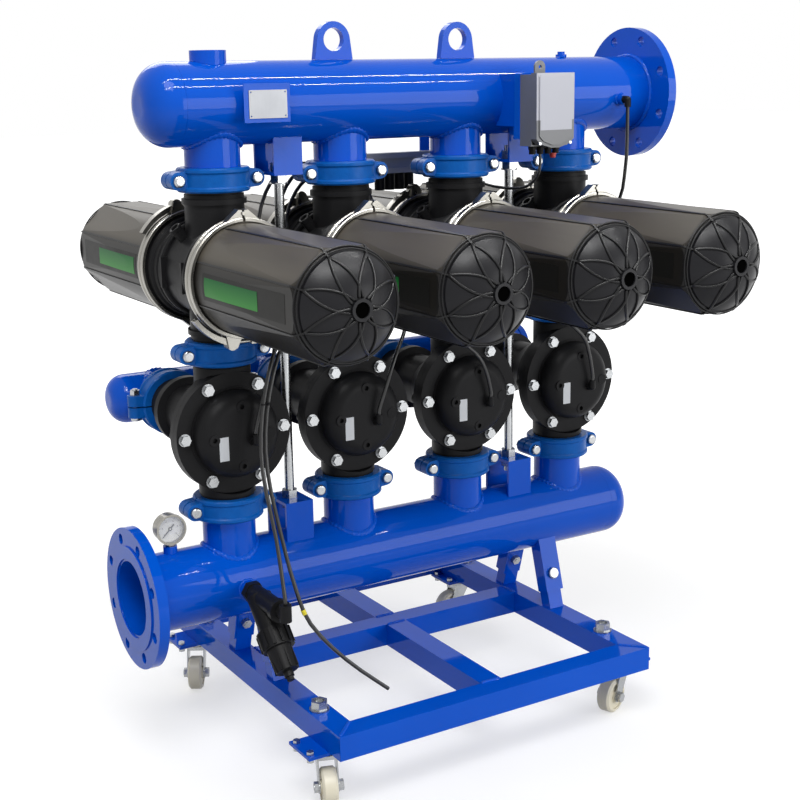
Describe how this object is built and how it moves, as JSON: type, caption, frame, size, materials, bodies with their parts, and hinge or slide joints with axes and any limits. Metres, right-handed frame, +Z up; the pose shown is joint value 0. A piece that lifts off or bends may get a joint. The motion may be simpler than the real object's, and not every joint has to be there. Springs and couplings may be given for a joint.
{
  "type": "irrigation disc filter station",
  "caption": "Wheeled back-wash disc filter station: double-ended filter columns with three-way valves between an inlet and an outlet manifold, with a drain manifold, controller and gauge.",
  "frame": {"origin": "on the floor under the middle of the station", "axes": "+X along the manifolds from the inlet flange to the outlet flange, -Y the front with the gauge and controller, +Z up"},
  "size_m": [1.27, 1.14, 1.473],
  "materials": {
    "blue_paint": "gloss",
    "coupling_paint": "satin",
    "black_plastic": "gloss",
    "black_tube": "satin",
    "rubber": "matte",
    "zinc": "satin",
    "stainless": "polished",
    "cream_plastic": "satin",
    "red_plastic": "satin",
    "grey_plastic": "satin",
    "white_plastic": "satin",
    "lens": "polished",
    "pointer": "satin"
  },
  "bodies": {
    "station": {"base_frame": "blue_paint", "caster_plates": "zinc", "frame_bolts": "zinc", "inlet_pipe": "blue_paint", "outlet_pipe": "blue_paint", "drain_pipe": "blue_paint", "pipe_flanges": "blue_paint", "branch_stubs": "blue_paint", "lifting_lugs": "blue_paint", "pipe_brackets": "blue_paint", "tie_rods": "zinc", "coupling_shells": "coupling_paint", "coupling_bolts": "zinc", "rubber_seals": "rubber", "valve_bodies": "black_plastic", "valve_bonnets": "black_plastic", "valve_plungers": "grey_plastic", "valve_bolts": "zinc", "filter_bodies": "black_plastic", "filter_covers": "black_plastic", "disc_stacks": "red_plastic", "filter_spines": "black_plastic", "clamp_bands": "stainless", "gauge_case": "stainless", "gauge_dial": "white_plastic", "gauge_lens": "lens", "side_filter_body": "black_plastic", "side_filter_bowl": "black_plastic", "controller_base": "grey_plastic", "controller_cover": "white_plastic", "controller_glands": "black_plastic", "rating_plate": "stainless", "pilot_rail": "grey_plastic", "pilot_solenoids": "black_plastic", "tube_fittings": "black_plastic", "tube_valve_1": "black_tube", "tube_valve_2": "black_tube", "tube_valve_3": "black_tube", "tube_valve_4": "black_tube", "tube_side_filter": "black_tube", "tube_drain": "black_tube", "tube_outlet": "black_tube", "cable_controller": "black_tube"},
    "caster_front_left": {"caster_fork_fl": "zinc"},
    "wheel_front_left": {"caster_wheel_fl": "cream_plastic"},
    "caster_front_right": {"caster_fork_fr": "zinc"},
    "wheel_front_right": {"caster_wheel_fr": "cream_plastic"},
    "caster_rear_left": {"caster_fork_rl": "zinc"},
    "wheel_rear_left": {"caster_wheel_rl": "cream_plastic"},
    "caster_rear_right": {"caster_fork_rr": "zinc"},
    "wheel_rear_right": {"caster_wheel_rr": "cream_plastic"},
    "front_lever_1": {"clamp_lever_f1": "stainless"},
    "rear_lever_1": {"clamp_lever_r1": "stainless"},
    "front_lever_2": {"clamp_lever_f2": "stainless"},
    "rear_lever_2": {"clamp_lever_r2": "stainless"},
    "front_lever_3": {"clamp_lever_f3": "stainless"},
    "rear_lever_3": {"clamp_lever_r3": "stainless"},
    "front_lever_4": {"clamp_lever_f4": "stainless"},
    "rear_lever_4": {"clamp_lever_r4": "stainless"},
    "pointer": {"gauge_pointer": "pointer"}
  },
  "joints": [
    {"name": "swivel_front_left", "type": "hinge", "parent": "station", "child": "caster_front_left", "pos_m": [-0.374, -0.312, 0.1], "axis": [0, 0, 1], "continuous": true},
    {"name": "roll_front_left", "type": "hinge", "parent": "caster_front_left", "child": "wheel_front_left", "pos_m": [-0.38289, -0.33643, 0.0375], "axis": [0.9397, -0.342, 0], "continuous": true},
    {"name": "swivel_front_right", "type": "hinge", "parent": "station", "child": "caster_front_right", "pos_m": [0.354, -0.312, 0.1], "axis": [0, 0, 1], "continuous": true},
    {"name": "roll_front_right", "type": "hinge", "parent": "caster_front_right", "child": "wheel_front_right", "pos_m": [0.32957, -0.32089, 0.0375], "axis": [0.342, -0.9397, 0], "continuous": true},
    {"name": "swivel_rear_left", "type": "hinge", "parent": "station", "child": "caster_rear_left", "pos_m": [-0.374, 0.312, 0.1], "axis": [0, 0, 1], "continuous": true},
    {"name": "roll_rear_left", "type": "hinge", "parent": "caster_rear_left", "child": "wheel_rear_left", "pos_m": [-0.38739, 0.28971, 0.0375], "axis": [0.8572, -0.515, 0], "continuous": true},
    {"name": "swivel_rear_right", "type": "hinge", "parent": "station", "child": "caster_rear_right", "pos_m": [0.354, 0.312, 0.1], "axis": [0, 0, 1], "continuous": true},
    {"name": "roll_rear_right", "type": "hinge", "parent": "caster_rear_right", "child": "wheel_rear_right", "pos_m": [0.3281, 0.31427, 0.0375], "axis": [-0.0872, -0.9962, 0], "continuous": true},
    {"name": "front_latch_1", "type": "hinge", "parent": "station", "child": "front_lever_1", "pos_m": [-0.4488, -0.12, 0.87704], "axis": [0, -1, 0], "range_deg": [0, 110]},
    {"name": "rear_latch_1", "type": "hinge", "parent": "station", "child": "rear_lever_1", "pos_m": [-0.4488, 0.12, 1.12295], "axis": [0, 1, 0], "range_deg": [0, 110]},
    {"name": "front_latch_2", "type": "hinge", "parent": "station", "child": "front_lever_2", "pos_m": [-0.1688, -0.12, 0.87704], "axis": [0, -1, 0], "range_deg": [0, 110]},
    {"name": "rear_latch_2", "type": "hinge", "parent": "station", "child": "rear_lever_2", "pos_m": [-0.1688, 0.12, 1.12295], "axis": [0, 1, 0], "range_deg": [0, 110]},
    {"name": "front_latch_3", "type": "hinge", "parent": "station", "child": "front_lever_3", "pos_m": [0.1112, -0.12, 0.87704], "axis": [0, -1, 0], "range_deg": [0, 110]},
    {"name": "rear_latch_3", "type": "hinge", "parent": "station", "child": "rear_lever_3", "pos_m": [0.1112, 0.12, 1.12295], "axis": [0, 1, 0], "range_deg": [0, 110]},
    {"name": "front_latch_4", "type": "hinge", "parent": "station", "child": "front_lever_4", "pos_m": [0.3912, -0.12, 0.87704], "axis": [0, -1, 0], "range_deg": [0, 110]},
    {"name": "rear_latch_4", "type": "hinge", "parent": "station", "child": "rear_lever_4", "pos_m": [0.3912, 0.12, 1.12295], "axis": [0, 1, 0], "range_deg": [0, 110]},
    {"name": "pointer_turn", "type": "hinge", "parent": "station", "child": "pointer", "pos_m": [-0.547, 0, 0.496], "axis": [0, 1, 0], "range_deg": [0, 270]}
  ]
}
